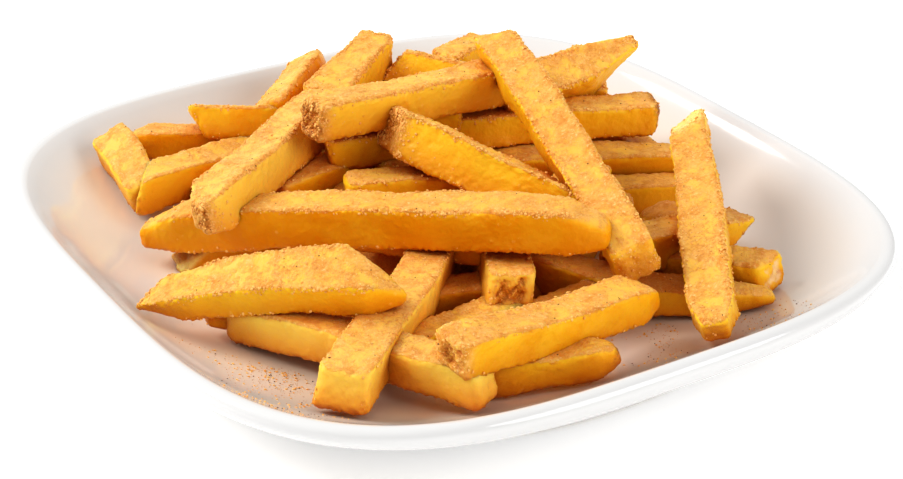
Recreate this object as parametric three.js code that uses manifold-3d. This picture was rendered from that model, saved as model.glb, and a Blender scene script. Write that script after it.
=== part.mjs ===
// A portion of thick-cut french fries heaped on a rounded square side plate.
// Millimetres, +Z up. The origin is the middle of the plate's foot, on the surface it stands on.

import * as THREE from 'three';
import { mergeVertices } from 'three/addons/utils/BufferGeometryUtils.js';
import Module from 'manifold-3d';

const wasm = await Module();
wasm.setup();

// Driving dimensions of the plate. Radii are half-sides, measured across the middle of a side.
const plate = {
  half: 100,             // a 200 mm side plate
  floorHeight: 9,        // top of the eating surface
  floorHalf: 58,         // where the floor starts to turn up
  undersideHeight: 4.5,  // under the middle, inside the foot
  footOuter: 78,
  footInner: 74,
  recessHalf: 70,        // inner edge of the foot ring, up at the underside
  lipRadius: 2.6,        // roll of the edge
  lipTop: 23.4,          // highest point of the plate
  lipDrop: 4.2,          // depth of the steep band under the roll
  turns: 96,             // steps round the outline
};

// The outline grows squarer from the foot to the edge: exponents of a superellipse.
const squareness = { atFoot: 2.2, perMillimetre: 0.052 };

// Cut size of a fry where its entry below gives none, and the flat on its four long edges.
const fryCut = { width: 10, height: 10, edge: 1.7 };

// How a fry ends: length of the taper, what is left of width and height, and how far the tip lifts.
const fryEnds = {
  blunt: { reach: 1.8, width: 0.8, height: 0.8, lift: 0 },
  round: { reach: 6, width: 0.55, height: 0.55, lift: 0 },
  tip: { reach: 16, width: 0.55, height: 0.42, lift: 0.1 },
  point: { reach: 18, width: 0.35, height: 0.3, lift: 0.25 },
  wedge: { reach: 12, width: 0.85, height: 0.3, lift: 0.35 },
  chisel: { reach: 9, width: 0.45, height: 0.8, lift: 0 },
  slope: { reach: 16, width: 0.8, height: 0.6, lift: -0.17 },
  worn: { reach: 8, width: 0.5, height: 0.72, lift: 0 },
  beak: { reach: 14, width: 0.4, height: 0.35, lift: -0.22 },
};

// Every fry by the two ends of its middle line. Roll is in degrees and bow lifts the middle.
// At either end slant turns the cut face sideways and lean tips it, in degrees.
const floorFries = {
  farRightFloor: { from: [23.5, -37, 14.4], to: [52.7, -69.3, 17.3], height: 9.5,
    finishSlant: 20 },
  frontRightPointed: { from: [17, -54, 15], to: [48, -75, 15], height: 8.5, finish: 'tip' },
  frontRightLow: { from: [-37, -69, 16.5], to: [-5.6, -81.8, 18.9], width: 9, height: 9.5,
    finish: 'round' },
  frontCross: { from: [-69, -17, 16.3], to: [-39.4, -79.9, 20.4], width: 10.5, bow: 0.5 },
  underRightFront: { from: [2, -18, 14.4], to: [18, -55, 14.4] },
  underMiddleFront: { from: [-44, -50, 14.3], to: [-8, -47, 14.2], height: 9.5 },
  underMiddle: { from: [-36, -26, 14.1], to: [-4, -40, 14.1], height: 9.5 },
  leftWedge: { from: [-67.2, 12.9, 14.2], to: [-52.4, 33.2, 14.2], width: 11, height: 9,
    start: 'point' },
  leftInner: { from: [-60.2, 19.1, 14.6], to: [-15.4, -3, 14.6], height: 10, startSlant: 30 },
  leftPointed: { from: [-75.8, -13.5, 15.2], to: [-46, -22, 13.9], width: 9.5, height: 9,
    start: 'tip' },
  rightFloor: { from: [34, -4, 14.5], to: [68, -18, 14.5], height: 9 },
  rightShort: { from: [42, -26, 15.3], to: [60, -42, 15.6], width: 10.5, height: 10.5,
    start: 'round' },
  middleFloor: { from: [-4, -10, 14.4], to: [44, -6, 14.4] },
  leftMiddleFloor: { from: [-44, 36, 14.4], to: [-4, 4, 14.4] },
  backFloor: { from: [-8, 74, 17], to: [48, 66, 16.6] },
  backInner: { from: [6, 58, 14.6], to: [64, 43, 15.6] },
  backRight: { from: [66, 36, 16], to: [68, 0, 15], height: 9.5 },
  centreFloor: { from: [-22, 27, 16], to: [18, 20, 16] },
  leftBackRound: { from: [-53.2, 77.2, 19.5], to: [-9.3, 61, 15.6], height: 9.5, start: 'round' },
  leftBackLow: { from: [-64.3, 47.7, 20], to: [-8, 56, 17], width: 10.5, height: 10.5,
    startSlant: 34 },
  leftBackEnd: { from: [-60.4, 75.4, 21.5], to: [-61.7, 47.7, 17.6], width: 10.5, height: 9.5,
    roll: 24 },
  leftFill: { from: [-46, 24, 20], to: [-14, 58, 18] },
  innerCrossing: { from: [-28, 4, 19], to: [2, 42, 19], height: 9 },
  underBowed: { from: [-59, -12, 13.9], to: [-41, -44, 14.2], height: 9 },
  underShort: { from: [-20, -56, 14], to: [12, -52, 14], height: 9 },
  gapFloor: { from: [-28, 46, 15], to: [10, 52, 15] },
  rightLong: { from: [15, 19, 18], to: [71.4, -8.9, 18], width: 11.5, height: 12.5, bow: -0.5 },
};

const middleFries = {
  rightTip: { from: [19.2, -47.9, 22.8], to: [56.4, -47.2, 18.8], finishLean: 40 },
  middleShort: { from: [-13, -50, 21], to: [4, -14, 19], width: 11.5, height: 11 },
  frontDown: { from: [-5, -11.5, 20.5], to: [-69.6, -67, 21], width: 12, height: 11, bow: -0.5 },
  frontRight: { from: [-48, -75.7, 28.3], to: [12.9, -70, 23.2], width: 11, height: 9.3,
    bow: -0.5, finish: 'round' },
  leftBackWedge: { from: [-38, 68, 25], to: [-4, 50, 24], height: 9.5, roll: -24, start: 'wedge' },
  centrePointed: { from: [-38, 20, 24], to: [5, 28, 24], width: 9.5, height: 9, start: 'tip' },
  innerFront: { from: [-30, -6, 24], to: [-2, -38, 24], width: 9.5, height: 9.5 },
  innerLeft: { from: [-24.5, 8.1, 26], to: [16, -8, 26] },
  innerMiddle: { from: [2, 4, 24], to: [36, -30, 20] },
  innerBack: { from: [-8, 42, 26], to: [30, 24, 26], width: 9.5, height: 9.5 },
  innerLow: { from: [-6, 22, 24], to: [8, -22, 21], height: 9.5 },
  innerRight: { from: [14, -22, 24], to: [42, -10, 23], width: 9.5, height: 9.5 },
  backLeftUpper: { from: [-19.5, 56, 26], to: [8.5, 79.5, 30], width: 11, height: 10.5, roll: -8 },
  backUpper: { from: [-6, 70, 26], to: [48, 60, 25] },
  backRightUpper: { from: [56, 52, 24], to: [58, 20, 22] },
  backInnerUpper: { from: [8, 44, 24], to: [62, 38, 25], height: 9.5, finish: 'tip' },
  backSloping: { from: [4, 84, 19.5], to: [22, 50, 26], width: 9.5, height: 9.5 },
  rightBehind: { from: [44, 33, 25], to: [66, 19, 29], width: 9.5, height: 9.5 },
  underTop: { from: [-21.7, 24, 31], to: [-0.6, 19.5, 31], width: 9, height: 9 },
  rightUpper: { from: [9, 26, 29], to: [71.7, 4.6, 28.3], width: 10.5, height: 9.8 },
};

const topFries = {
  frontLeftBowed: { from: [-85.9, -6.2, 19.7], to: [-43.4, -48, 32.6], width: 12, height: 8.7,
    roll: 22, bow: 2.2, start: 'wedge', startSlant: 25, finish: 'beak', finishSlant: -25 },
  longFront: { from: [-71.9, 29.7, 18], to: [10, -57, 35], width: 11.5, height: 11.5, bow: 3,
    start: 'slope', finish: 'slope' },
  leftUpper: { from: [-67.9, 5.5, 31], to: [-8, 45, 33], width: 12, height: 11.5, roll: -10,
    start: 'worn', startSlant: 20 },
  centreDiagonal: { from: [-9.2, 13, 39], to: [17, -41, 28], width: 11.5, height: 12, roll: -26,
    startSlant: -42 },
  centreUnder: { from: [-18, 36, 34], to: [18, 20, 33], width: 9.5, height: 9.5 },
  backCentre: { from: [20.3, 59, 35], to: [43.6, 29.8, 31], width: 10.5, height: 10.5, roll: -26 },
  backTop: { from: [34.8, 55.9, 30], to: [54.1, 62.1, 31], height: 9.5 },
  leftTop: { from: [-10.5, 46, 31], to: [18.5, 64.5, 38], width: 12, height: 11, roll: 4 },
  rightWing: { from: [31, 20.7, 34.5], to: [75, 19.8, 41], width: 12.5, height: 11, roll: 10,
    bow: -1.2, finish: 'point' },
  leftTopLong: { from: [-29.6, 18.9, 43], to: [41, 22, 39], width: 11, height: 11, bow: 0.5 },
  rightLeaning: { from: [17.5, -87.8, 20.7], to: [65, -16.9, 35.2], width: 10.8, height: 8.5,
    roll: -16, bow: 0.5, finishSlant: -30, finishLean: -62 },
  topDiagonal: { from: [31.5, 24.3, 49.8], to: [13, -64, 28], width: 11.5, height: 10.8,
    roll: 22, bow: 1, startSlant: 16 },
};

// The packed middle of the heap, under the fries that show.
const core = { centre: [2, 4], radius: 42, bottom: 9.4, top: 20, sides: 20, steps: 4 };

const up = new THREE.Vector3(0, 0, 1);

// Radius of a superellipse of unit half-side, in the direction of an angle.
function outlineFactor(angle, exponent) {
  const sum = Math.abs(Math.cos(angle)) ** exponent + Math.abs(Math.sin(angle)) ** exponent;
  return sum ** (-1 / exponent);
}

// Half section of the plate, from the axis underneath, round the edge and back to the axis.
function plateProfile() {
  const { half, lipRadius, lipTop, lipDrop } = plate;
  const lipCentre = { x: half - lipRadius, y: lipTop - lipRadius };
  const lipInner = Math.PI * 0.68;
  const wallTop = {
    x: lipCentre.x + lipRadius * Math.cos(lipInner),
    y: lipCentre.y + lipRadius * Math.sin(lipInner),
  };
  const bandFoot = { x: half - 3, y: lipCentre.y - lipDrop };
  const underside = new THREE.CubicBezierCurve(
    new THREE.Vector2(plate.footOuter, 0), new THREE.Vector2(84, 6.2),
    new THREE.Vector2(91.5, 13.2), new THREE.Vector2(bandFoot.x, bandFoot.y));
  const band = new THREE.CubicBezierCurve(
    new THREE.Vector2(bandFoot.x, bandFoot.y), new THREE.Vector2(half - 1, bandFoot.y + 0.6),
    new THREE.Vector2(half, bandFoot.y + 2), new THREE.Vector2(half, lipCentre.y));
  const lip = new THREE.EllipseCurve(lipCentre.x, lipCentre.y, lipRadius, lipRadius, 0, lipInner);
  const wall = new THREE.CubicBezierCurve(
    new THREE.Vector2(wallTop.x, wallTop.y), new THREE.Vector2(88, 13.5),
    new THREE.Vector2(76, plate.floorHeight), new THREE.Vector2(plate.floorHalf, plate.floorHeight));
  return [
    new THREE.Vector2(0, plate.undersideHeight),
    new THREE.Vector2(plate.recessHalf, plate.undersideHeight),
    new THREE.Vector2(plate.footInner, 0),
    ...underside.getPoints(4),
    ...band.getPoints(3).slice(1),
    ...lip.getPoints(5).slice(1),
    ...wall.getPoints(7).slice(1),
    new THREE.Vector2(0, plate.floorHeight),
  ];
}

// The section turned round the axis, then drawn out from a circle to the rounded square.
function plateGeometry() {
  const geometry = new THREE.LatheGeometry(plateProfile(), plate.turns);
  geometry.rotateX(Math.PI / 2);
  const position = geometry.attributes.position;
  for (let i = 0; i < position.count; i += 1) {
    const angle = Math.atan2(position.getY(i), position.getX(i));
    const exponent = squareness.atFoot + squareness.perMillimetre * position.getZ(i);
    const factor = outlineFactor(angle, exponent);
    position.setX(i, position.getX(i) * factor);
    position.setY(i, position.getY(i) * factor);
  }
  return closed(geometry);
}

// Only position is left, and vertices at the same place are one.
function closed(geometry) {
  geometry.deleteAttribute('normal');
  geometry.deleteAttribute('uv');
  return mergeVertices(geometry, 1e-4);
}

function toSolid(geometry) {
  return new wasm.Manifold(new wasm.Mesh({
    numProp: 3,
    vertProperties: new Float32Array(geometry.attributes.position.array),
    triVerts: new Uint32Array(geometry.index.array),
  }));
}

function toGeometry(solid) {
  const mesh = solid.getMesh();
  const geometry = new THREE.BufferGeometry();
  geometry.setAttribute('position', new THREE.BufferAttribute(new Float32Array(mesh.vertProperties), 3));
  geometry.setIndex(new THREE.BufferAttribute(new Uint32Array(mesh.triVerts), 1));
  geometry.computeVertexNormals();
  return geometry;
}

// A bar with its four long edges taken off.
function frySection(width, height) {
  const side = width / 2;
  const top = height / 2;
  const { edge } = fryCut;
  const corners = [
    [-side + edge, -top], [side - edge, -top], [side, -top + edge], [side, top - edge],
    [side - edge, top], [-side + edge, top], [-side, top - edge], [-side, -top + edge],
  ];
  return new THREE.Shape(corners.map(([x, y]) => new THREE.Vector2(x, y)));
}

// How far a point near an end is shifted along the fry by the slant and lean of the cut there.
function cutFace(fry, station, steps, across, rise) {
  const { startSlant = 0, startLean = 0, finishSlant = 0, finishLean = 0 } = fry;
  const slope = (degrees) => Math.tan(THREE.MathUtils.degToRad(degrees));
  if (station < 2) {
    return slope(startSlant) * across - slope(startLean) * rise;
  }
  if (station > steps - 2) {
    return slope(finishSlant) * across + slope(finishLean) * rise;
  }
  return 0;
}

// One fry: a straight bar drawn in at both ends, bowed, and turned into its place.
function fryGeometry(fry) {
  const { width = fryCut.width, height = fryCut.height, roll = 0, bow = 0 } = fry;
  const start = fryEnds[fry.start ?? 'blunt'];
  const finish = fryEnds[fry.finish ?? 'blunt'];
  const from = new THREE.Vector3(...fry.from);
  const to = new THREE.Vector3(...fry.to);
  const length = from.distanceTo(to);
  const middle = (length + start.reach - finish.reach) / 2;
  const waist = 0.12 * length;
  const stations = [0, start.reach, middle - waist, middle + waist, length - finish.reach, length];
  const steps = stations.length - 1;
  const section = frySection(width, height);
  const geometry = new THREE.ExtrudeGeometry(section, { depth: steps, steps, bevelEnabled: false });

  const along = to.clone().sub(from).normalize();
  const side = up.clone().cross(along).normalize();
  const top = along.clone().cross(side);
  const turn = new THREE.Quaternion().setFromAxisAngle(along, THREE.MathUtils.degToRad(roll));
  side.applyQuaternion(turn);
  top.applyQuaternion(turn);

  const position = geometry.attributes.position;
  const point = new THREE.Vector3();
  for (let i = 0; i < position.count; i += 1) {
    const station = Math.round(position.getZ(i));
    const end = station === 0 ? start : station === steps ? finish : { width: 1, height: 1, lift: 0 };
    const across = position.getX(i) * end.width;
    const rise = position.getY(i) * end.height + end.lift * height;
    const cutBack = cutFace(fry, station, steps, position.getX(i), position.getY(i));
    const share = stations[station] / length;
    point.copy(from)
      .addScaledVector(along, stations[station] + cutBack)
      .addScaledVector(side, across)
      .addScaledVector(top, rise)
      .addScaledVector(up, bow * 4 * share * (1 - share));
    position.setXYZ(i, point.x, point.y, point.z);
  }
  return closed(geometry);
}

// A low dome that stands on the floor of the plate.
function coreGeometry() {
  const profile = [new THREE.Vector2(0, core.bottom)];
  for (let i = 0; i <= core.steps; i += 1) {
    const angle = (i / core.steps) * Math.PI / 2;
    profile.push(new THREE.Vector2(
      i === core.steps ? 0 : core.radius * Math.cos(angle),
      core.bottom + (core.top - core.bottom) * Math.sin(angle)));
  }
  const geometry = new THREE.LatheGeometry(profile, core.sides);
  geometry.rotateX(Math.PI / 2);
  geometry.translate(core.centre[0], core.centre[1], 0);
  return closed(geometry);
}

// The fries and the core as one body: of the parts the union leaves, the outer skin alone.
function heapGeometry() {
  const fries = Object.values({ ...floorFries, ...middleFries, ...topFries });
  let heap = toSolid(coreGeometry());
  for (const fry of fries) {
    heap = heap.add(toSolid(fryGeometry(fry)));
  }
  const skins = heap.decompose();
  skins.sort((a, b) => b.volume() - a.volume());
  return toGeometry(skins[0]);
}

function makePlate() {
  const material = new THREE.MeshStandardMaterial({ color: '#f3f0ec', roughness: 0.18, metalness: 0 });
  const mesh = new THREE.Mesh(plateGeometry(), material);
  mesh.name = 'plate';
  return mesh;
}

function makeHeap() {
  const material = new THREE.MeshStandardMaterial({ color: '#e9a640', roughness: 0.6, metalness: 0 });
  const mesh = new THREE.Mesh(heapGeometry(), material);
  mesh.name = 'fries_heap';
  return mesh;
}

const portion = new THREE.Group();
portion.add(makePlate(), makeHeap());

export default portion;
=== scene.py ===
import math
import random

import bmesh
import bpy
import numpy as np
from mathutils import Matrix, Quaternion, Vector, noise
from mathutils.bvhtree import BVHTree


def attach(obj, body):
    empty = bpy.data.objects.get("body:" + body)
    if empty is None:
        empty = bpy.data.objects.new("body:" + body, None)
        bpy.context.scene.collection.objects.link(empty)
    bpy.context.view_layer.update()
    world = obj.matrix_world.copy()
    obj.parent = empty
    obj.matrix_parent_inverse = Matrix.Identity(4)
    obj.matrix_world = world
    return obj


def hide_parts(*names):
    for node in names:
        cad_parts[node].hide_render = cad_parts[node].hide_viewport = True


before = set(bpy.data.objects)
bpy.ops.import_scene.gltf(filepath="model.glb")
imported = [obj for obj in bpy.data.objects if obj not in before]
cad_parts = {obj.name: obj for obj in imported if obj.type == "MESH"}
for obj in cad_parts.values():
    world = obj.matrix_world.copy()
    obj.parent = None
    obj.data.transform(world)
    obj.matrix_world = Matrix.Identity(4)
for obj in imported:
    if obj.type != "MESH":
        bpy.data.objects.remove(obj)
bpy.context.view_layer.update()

mm = 0.001  # sizes below are in millimetres, Blender works in metres


# small helpers

def clearSelection():
    if bpy.context.object and bpy.context.object.mode != "OBJECT":
        bpy.ops.object.mode_set(mode="OBJECT")
    bpy.ops.object.select_all(action="DESELECT")


def activate(piece):
    clearSelection()
    piece.select_set(True)
    bpy.context.view_layer.objects.active = piece


def applyModifier(piece, kind, **settings):
    activate(piece)
    modifier = piece.modifiers.new(kind.lower(), kind)
    for name, value in settings.items():
        setattr(modifier, name, value)
    bpy.ops.object.modifier_apply(modifier=modifier.name)


def joinPieces(pieces, name):
    clearSelection()
    for piece in pieces:
        piece.select_set(True)
    bpy.context.view_layer.objects.active = pieces[0]
    if len(pieces) > 1:
        bpy.ops.object.join()
    joined = bpy.context.object
    joined.name = name
    joined.data.name = name
    return joined


def selectFaces(piece, wanted):
    shape = bmesh.from_edit_mesh(piece.data)
    for face in shape.faces:
        face.select_set(wanted(face))
    shape.select_flush_mode()
    bmesh.update_edit_mesh(piece.data)


def readPoints(mesh):
    flat = np.empty(len(mesh.vertices) * 3)
    mesh.vertices.foreach_get("co", flat)
    return flat.reshape(-1, 3)


def writePoints(mesh, points):
    mesh.vertices.foreach_set("co", np.ascontiguousarray(points).ravel())
    mesh.update()


def storeValues(mesh, name, values):
    layer = mesh.attributes.new(name, "FLOAT", "POINT")
    layer.data.foreach_set("value", np.ascontiguousarray(values, dtype=np.float32))


def markUpward(piece):
    normals = np.empty(len(piece.data.vertices) * 3)
    piece.data.vertex_normals.foreach_get("vector", normals)
    storeValues(piece.data, "upward", np.clip(normals.reshape(-1, 3)[:, 2], 0, 1))


def smoothStep(low, high, values):
    share = np.clip((values - low) / (high - low), 0, 1)
    return share * share * (3 - 2 * share)


# node helpers: an input takes a number, a colour or another node's socket

def addNode(tree, kind, inputs=None, **settings):
    node = tree.nodes.new(kind)
    for name, value in settings.items():
        setattr(node, name, value)
    for name, value in (inputs or {}).items():
        if isinstance(value, bpy.types.NodeSocket):
            tree.links.new(value, node.inputs[name])
        else:
            node.inputs[name].default_value = value
    return node


def grain(tree, place, size, detail=2.0, roughness=0.5, offset=0.0):
    # soft random pattern, size in metres
    if offset:
        place = addNode(tree, "ShaderNodeVectorMath", {0: place, 1: (offset, offset, offset)}).outputs[0]
    node = addNode(tree, "ShaderNodeTexNoise", {
        "Vector": place, "Scale": 1 / size, "Detail": detail, "Roughness": roughness})
    return node.outputs[0]


def between(tree, value, low, high, first=0.0, last=1.0):
    node = addNode(tree, "ShaderNodeMapRange", {
        "Value": value, "From Min": low, "From Max": high, "To Min": first, "To Max": last},
        interpolation_type="SMOOTHSTEP")
    return node.outputs[0]


def combine(tree, operation, a, b):
    node = addNode(tree, "ShaderNodeMath", {0: a, 1: b}, operation=operation)
    return node.outputs[0]


def blendColours(tree, share, a, b):
    node = addNode(tree, "ShaderNodeMix", {0: share, 6: a, 7: b}, data_type="RGBA")
    return node.outputs[2]


def paint(red, green, blue):
    # a colour picked on screen, as the linear values that the shaders use
    return tuple(((c / 255 + 0.055) / 1.055) ** 2.4 if c > 10 else c / 255 / 12.92
                 for c in (red, green, blue)) + (1.0,)


def newMaterial(name):
    material = bpy.data.materials.new(name)
    material.use_nodes = True
    tree = material.node_tree
    shader = tree.nodes["Principled BSDF"]
    place = addNode(tree, "ShaderNodeTexCoord").outputs["Object"]
    return material, tree, shader, place


# camera

cameraView = {
    "place": (-247.33, -379.40, 247.32),
    "aim": (11.82, 14.55, 0),
    "roll": 1.26,
    "lens": 77.98,
    "sensor": 36,
}


def addCamera():
    place = Vector(cameraView["place"]) * mm
    aim = Vector(cameraView["aim"]) * mm
    turn = (aim - place).to_track_quat("-Z", "Y")
    turn = turn @ Quaternion((0, 0, 1), math.radians(cameraView["roll"]))
    bpy.ops.object.camera_add(location=place, rotation=turn.to_euler())
    camera = bpy.context.object
    camera.data.lens = cameraView["lens"]
    camera.data.sensor_width = cameraView["sensor"]
    camera.data.clip_start = 0.01
    bpy.context.scene.camera = camera


addCamera()
print("camera set")


# plate: a section turned round the axis, then drawn out to a rounded square

plateShape = {
    "half": 100,
    "floorHeight": 9,
    "floorHalf": 58,
    "undersideHeight": 4.5,
    "footOuter": 78,
    "footInner": 74,
    "recessHalf": 70,
    "lipRadius": 2.6,
    "lipTop": 23.4,
    "lipDrop": 4.2,
    "lipRoll": 0.68,  # how far the edge rolls over to the inner wall, in half turns
    "edgeBevel": 0.5,
    "bevelFrom": 28,  # degrees
    "squareAtFoot": 2.2,  # superellipse exponent of the outline
    "squarePerMillimetre": 0.052,
    "turns": 256,
    "curveSteps": 14,
}


def plateSection():
    s = plateShape
    lipX, lipZ = s["half"] - s["lipRadius"], s["lipTop"] - s["lipRadius"]
    bandZ = lipZ - s["lipDrop"]
    roll = s["lipRoll"] * math.pi

    def onLip(angle):
        return (lipX + s["lipRadius"] * math.cos(angle), lipZ + s["lipRadius"] * math.sin(angle))

    corners = [(0, s["undersideHeight"]), (s["recessHalf"], s["undersideHeight"]),
               (s["footInner"], 0), (s["footOuter"], 0)]
    curves = [
        ((84, 6.2), (91.5, 13.2), (s["half"] - 3, bandZ)),
        ((s["half"] - 1, bandZ + 0.6), (s["half"], bandZ + 2), (s["half"], lipZ)),
    ]
    points = list(corners)
    for first, second, last in curves:
        points += bezier(points[-1], first, second, last)
    points += [onLip(roll * k / s["curveSteps"]) for k in range(1, s["curveSteps"] + 1)]
    points += bezier(points[-1], (88, 13.5), (76, s["floorHeight"]), (s["floorHalf"], s["floorHeight"]))
    points.append((0, s["floorHeight"]))
    return points


def bezier(start, first, second, last):
    steps = plateShape["curveSteps"]
    found = []
    for k in range(1, steps + 1):
        t = k / steps
        weights = ((1 - t) ** 3, 3 * t * (1 - t) ** 2, 3 * t * t * (1 - t), t ** 3)
        found.append(tuple(sum(w * p[axis] for w, p in zip(weights, (start, first, second, last)))
                           for axis in (0, 1)))
    return found


def makePlate():
    section = plateSection()
    mesh = bpy.data.meshes.new("plateDish")
    mesh.from_pydata([(x * mm, 0, z * mm) for x, z in section],
                     [(k, k + 1) for k in range(len(section) - 1)], [])
    dish = bpy.data.objects.new("plateDish", mesh)
    bpy.context.collection.objects.link(dish)
    activate(dish)
    bpy.ops.object.mode_set(mode="EDIT")
    bpy.ops.mesh.select_all(action="SELECT")
    bpy.ops.mesh.spin(steps=plateShape["turns"], angle=2 * math.pi, center=(0, 0, 0), axis=(0, 0, 1))
    bpy.ops.mesh.select_all(action="SELECT")
    bpy.ops.mesh.remove_doubles(threshold=1e-6)
    bpy.ops.mesh.normals_make_consistent(inside=False)
    bpy.ops.object.mode_set(mode="OBJECT")

    points = readPoints(dish.data)
    angle = np.arctan2(points[:, 1], points[:, 0])
    power = plateShape["squareAtFoot"] + plateShape["squarePerMillimetre"] * points[:, 2] / mm
    factor = (np.abs(np.cos(angle)) ** power + np.abs(np.sin(angle)) ** power) ** (-1 / power)
    points[:, :2] *= factor[:, None]
    writePoints(dish.data, points)
    applyModifier(dish, "BEVEL", width=plateShape["edgeBevel"] * mm, segments=2,
                  limit_method="ANGLE", angle_limit=math.radians(plateShape["bevelFrom"]))
    activate(dish)
    bpy.ops.object.shade_smooth()
    return dish


# colours as seen on screen, heights and reaches in metres
glazeLook = {
    "cloudDark": (221, 220, 218),
    "cloudLight": (227, 226, 225),
    "paintedHollowBounce": (242, 218, 192),  # painted warm bounce light from the fries in the hollow
    "paintedBounceHeights": (0.0225, 0.015),  # where it starts and where it is full
    "paintedBounceShare": 0.36,
    "paintedFryBounce": (255, 218, 164),  # painted warm shade and bounce light round the fries
    "fryBounceReach": 0.016,
    "fryBounceShare": 0.36,
    "bareFoot": (206, 198, 186),  # unglazed ring that the plate stands on
    "coat": 0.35,
    "coatRoughness": 0.06,
}


def glazeMaterial():
    look = glazeLook
    material, tree, shader, place = newMaterial("whiteGlaze")
    height = addNode(tree, "ShaderNodeSeparateXYZ", {0: place}).outputs["Z"]
    upward = addNode(tree, "ShaderNodeAttribute", attribute_name="upward").outputs["Fac"]
    cloud = grain(tree, place, 0.03, 3)
    white = blendColours(tree, cloud, paint(*look["cloudDark"]), paint(*look["cloudLight"]))
    # painted bounce light: the hollow is tinted warm, low down and on upward faces
    paintedHollowBounce = combine(tree, "MULTIPLY", between(tree, height, *look["paintedBounceHeights"], 0, look["paintedBounceShare"]),
                   between(tree, upward, 0.1, 0.4))
    white = blendColours(tree, paintedHollowBounce, white, paint(*look["paintedHollowBounce"]))
    # painted shade and bounce light: the glaze turns warm where ambient occlusion finds the fries close
    near = addNode(tree, "ShaderNodeAmbientOcclusion", {"Distance": look["fryBounceReach"]},
                   samples=6).outputs["AO"]
    paintedFryBounceShade = between(tree, near, 0.9, 0.3, 0, look["fryBounceShare"])
    paintedFryBounceShade = combine(tree, "MULTIPLY", paintedFryBounceShade, between(tree, height, 0.0085, 0.0088))
    white = blendColours(tree, paintedFryBounceShade, white, paint(*look["paintedFryBounce"]))
    bareFoot = between(tree, height, 0.0002, 0.0006, 1, 0)
    tree.links.new(blendColours(tree, bareFoot, white, paint(*look["bareFoot"])),
                   shader.inputs["Base Color"])
    tree.links.new(between(tree, bareFoot, 0, 1, 0.12, 0.75), shader.inputs["Roughness"])
    shader.inputs["Coat Weight"].default_value = look["coat"]
    shader.inputs["Coat Roughness"].default_value = look["coatRoughness"]
    ripple = combine(tree, "ADD", grain(tree, place, 0.035, 1), combine(
        tree, "MULTIPLY", grain(tree, place, 0.002, 2), 0.02))
    bump = addNode(tree, "ShaderNodeBump", {"Height": ripple, "Strength": 0.35, "Distance": 0.0006})
    tree.links.new(bump.outputs[0], shader.inputs["Normal"])
    return material


plate = makePlate()
markUpward(plate)
plate.data.materials.append(glazeMaterial())
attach(plate, "root")
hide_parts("plate")
print("plate made")


# fries: each is a bar cut square, with its two ends shaped, then crusted in oil

fryCut = {"width": 10, "height": 10, "edge": 1.7}

# how an end is cut: taper length, what is left of width and height, lift of the tip
endCuts = {
    "blunt": (1.8, 0.8, 0.8, 0),
    "round": (6, 0.55, 0.55, 0),
    "tip": (16, 0.55, 0.42, 0.1),
    "point": (18, 0.35, 0.3, 0.25),
    "wedge": (12, 0.85, 0.3, 0.35),
    "worn": (8, 0.5, 0.72, 0),
    "nose": (11, 0.62, 0.5, -0.1),
    "hook": (9, 0.4, 0.42, -0.2),
}

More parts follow.
